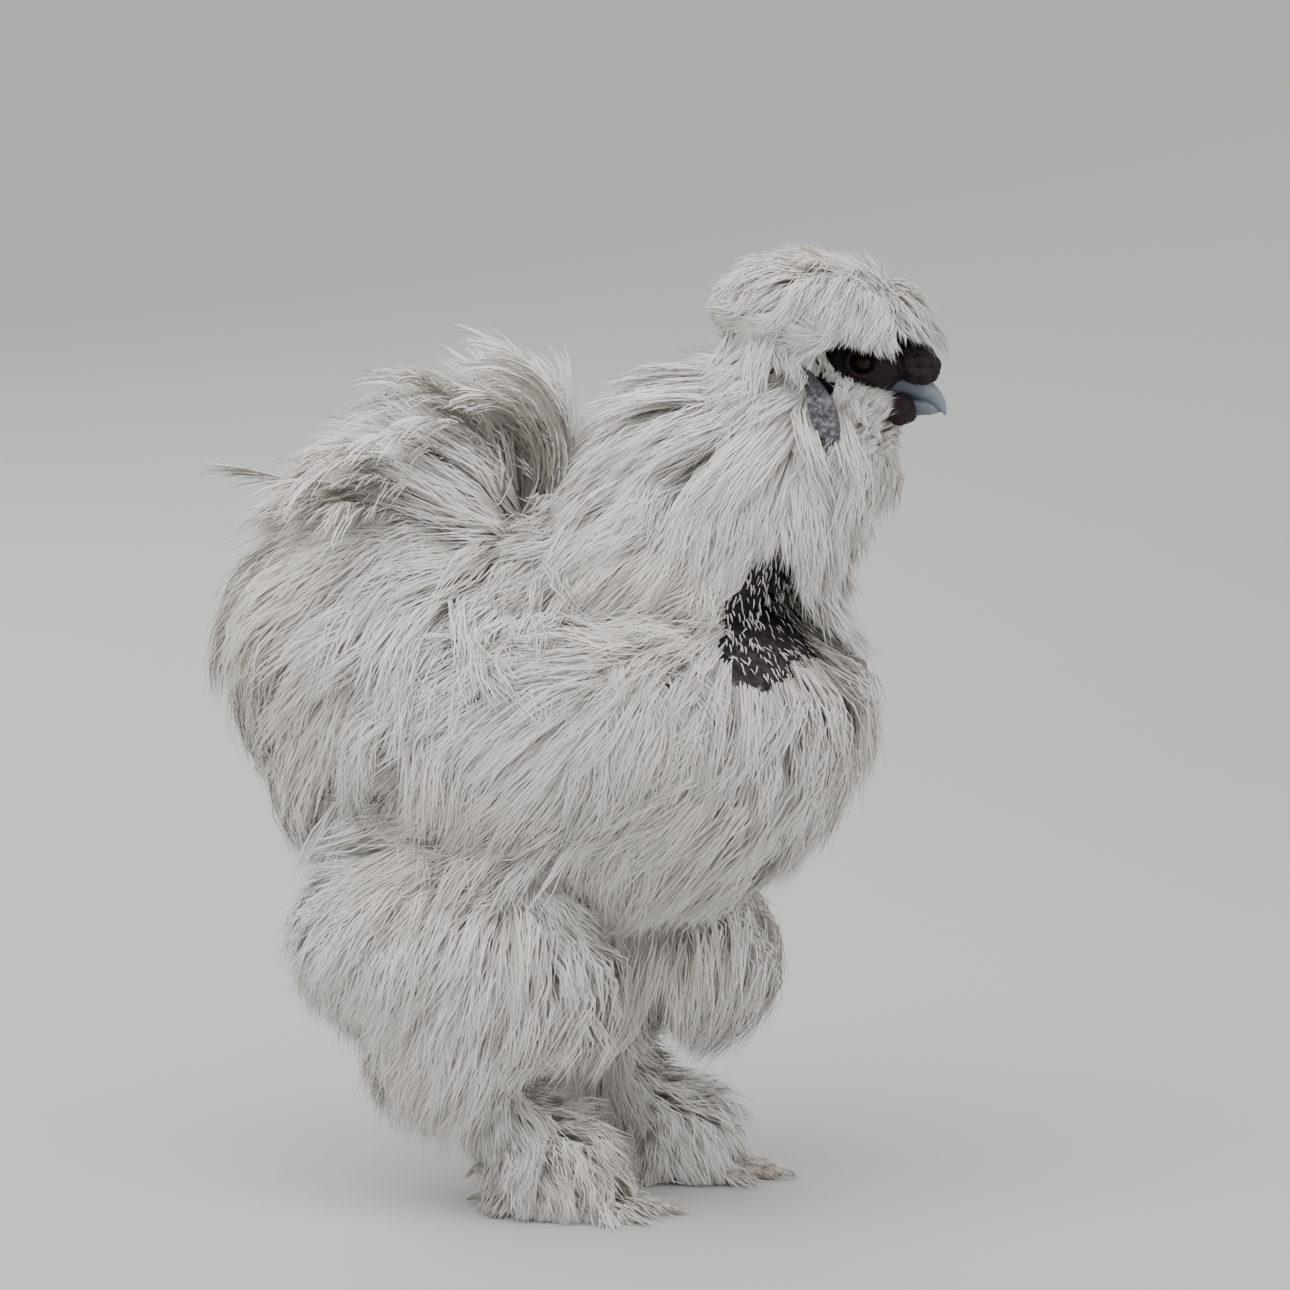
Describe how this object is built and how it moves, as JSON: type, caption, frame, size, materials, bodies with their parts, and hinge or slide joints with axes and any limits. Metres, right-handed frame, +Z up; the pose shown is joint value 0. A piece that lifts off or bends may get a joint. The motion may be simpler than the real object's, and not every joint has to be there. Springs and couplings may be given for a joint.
{
  "type": "silkie chicken model",
  "caption": "Standing white silkie rooster with crest, beard, walnut comb, rounded tail and feathered feet; a still life-size display model.",
  "frame": {"origin": "on the floor, under the middle of the bird's box", "axes": "+X is the way the bird faces, +Y its left side, +Z up"},
  "size_m": [0.2951, 0.1872, 0.3761],
  "materials": {
    "plumage": "soft white silky down",
    "face_skin": "wrinkled dark mulberry skin",
    "lobe_skin": "grained slate skin",
    "horn": "satin slate-blue horn",
    "eye": "wet black",
    "foot_skin": "dusty scaled skin",
    "claw": "pale horn"
  },
  "bodies": {
    "root": {"beak_lower": "horn", "beak_upper": "horn", "beard": "plumage", "claw_left_fifth": "claw", "claw_left_hind": "claw", "claw_left_inner": "claw", "claw_left_middle": "claw", "claw_left_outer": "claw", "claw_right_fifth": "claw", "claw_right_hind": "claw", "claw_right_inner": "claw", "claw_right_middle": "claw", "claw_right_outer": "claw", "comb": "face_skin", "crest": "plumage", "ear_lobe_left": "lobe_skin", "ear_lobe_right": "lobe_skin", "eye_left": "eye", "eye_right": "eye", "foot_left": "foot_skin", "foot_right": "foot_skin", "head": "face_skin", "neck": "plumage", "saddle": "plumage", "shank_left": "plumage", "shank_right": "plumage", "tail": "plumage", "thigh_left": "plumage", "thigh_right": "plumage", "torso": "plumage", "wattle_left": "face_skin", "wattle_right": "face_skin", "wing_left": "plumage", "wing_right": "plumage"}
  },
  "joints": []
}
